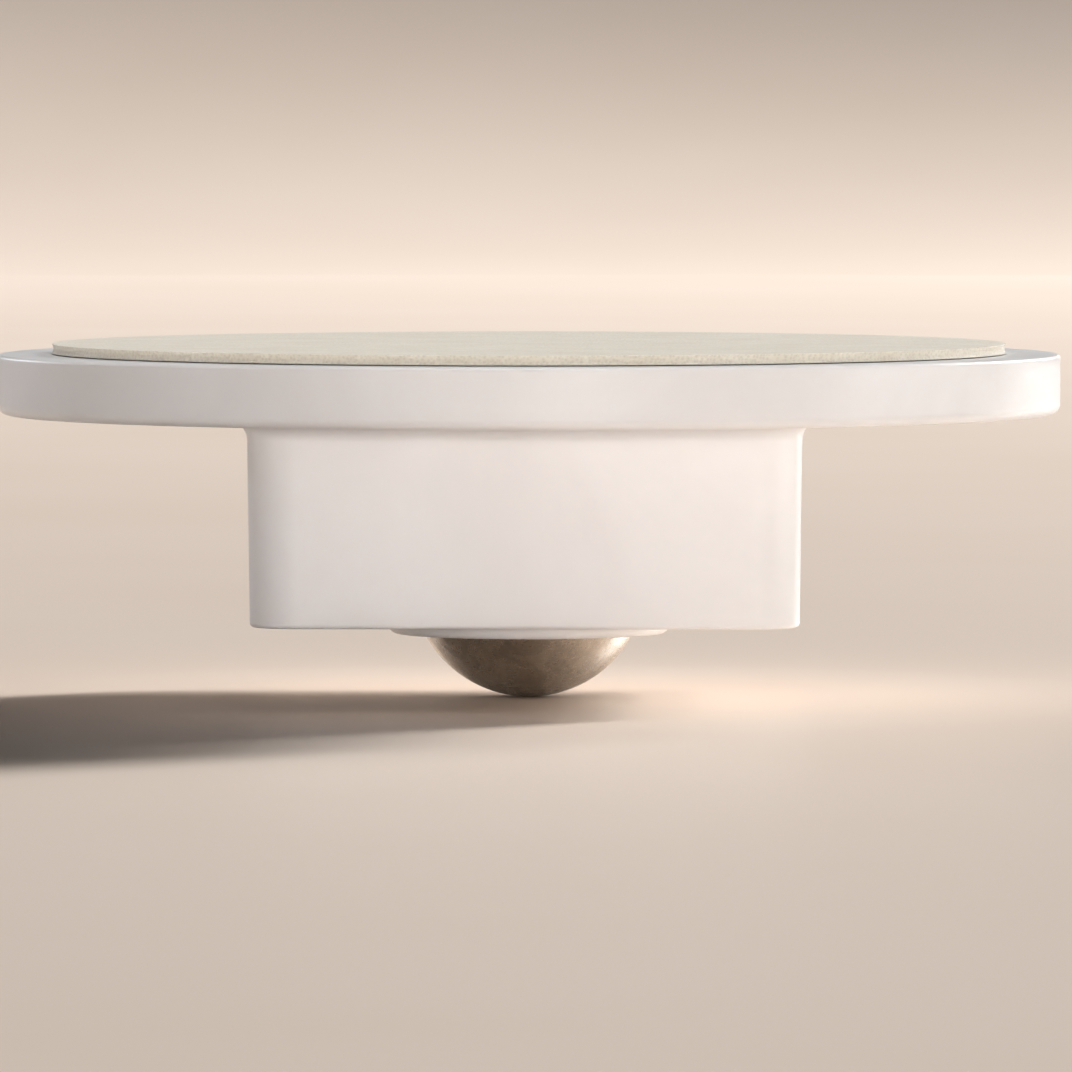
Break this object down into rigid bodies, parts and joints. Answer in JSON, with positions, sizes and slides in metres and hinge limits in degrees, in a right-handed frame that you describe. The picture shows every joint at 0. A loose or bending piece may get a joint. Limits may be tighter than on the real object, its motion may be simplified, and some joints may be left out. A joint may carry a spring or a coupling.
{
  "type": "ball caster",
  "caption": "Low stick-on ball caster: round white flange, rounded square housing, steel ball in a lipped ring, adhesive pad on top.",
  "frame": {"origin": "centre of the mounting face, the top of the adhesive pad", "axes": "+Z out of the mounting face, up towards the furniture the caster is stuck under; X and Y along the sides of the square housing block; the ball is at -Z"},
  "size_m": [0.045, 0.045, 0.015],
  "materials": {
    "white_plastic": "satin moulded ABS, warm white",
    "seat_plastic": "matt moulded nylon, natural",
    "ball_steel": "satin stainless steel with fine scuffs",
    "bearing_steel": "polished bearing steel",
    "cup_steel": "pressed and hardened steel",
    "felt": "pressed wool felt",
    "foam": "closed-cell foam tape"
  },
  "bodies": {
    "caster_body": {"housing": "white_plastic", "retaining_ring": "white_plastic", "wiper_seal": "felt", "bearing_cup": "cup_steel", "cup_seat": "seat_plastic", "adhesive_pad": "foam"},
    "ball_bed": {"support_ball_01": "bearing_steel", "support_ball_02": "bearing_steel", "support_ball_03": "bearing_steel", "support_ball_04": "bearing_steel", "support_ball_05": "bearing_steel", "support_ball_06": "bearing_steel", "support_ball_07": "bearing_steel", "support_ball_08": "bearing_steel", "support_ball_09": "bearing_steel", "support_ball_10": "bearing_steel", "support_ball_11": "bearing_steel", "support_ball_12": "bearing_steel", "support_ball_13": "bearing_steel", "support_ball_14": "bearing_steel", "support_ball_15": "bearing_steel", "support_ball_16": "bearing_steel", "support_ball_17": "bearing_steel", "support_ball_18": "bearing_steel", "support_ball_19": "bearing_steel", "support_ball_20": "bearing_steel", "support_ball_21": "bearing_steel", "support_ball_22": "bearing_steel", "support_ball_23": "bearing_steel", "support_ball_24": "bearing_steel", "support_ball_25": "bearing_steel", "support_ball_26": "bearing_steel", "support_ball_27": "bearing_steel", "support_ball_28": "bearing_steel", "support_ball_29": "bearing_steel", "support_ball_30": "bearing_steel", "support_ball_31": "bearing_steel", "support_ball_32": "bearing_steel", "support_ball_33": "bearing_steel", "support_ball_34": "bearing_steel", "support_ball_35": "bearing_steel"},
    "load_ball": {"load_ball": "ball_steel"}
  },
  "joints": [
    {"name": "ball_heading", "type": "hinge", "parent": "caster_body", "child": "ball_bed", "pos_m": [0, 0, -0.01], "axis": [0, 0, 1], "continuous": true},
    {"name": "ball_roll", "type": "hinge", "parent": "ball_bed", "child": "load_ball", "pos_m": [0, 0, -0.01], "axis": [1, 0, 0], "continuous": true}
  ]
}
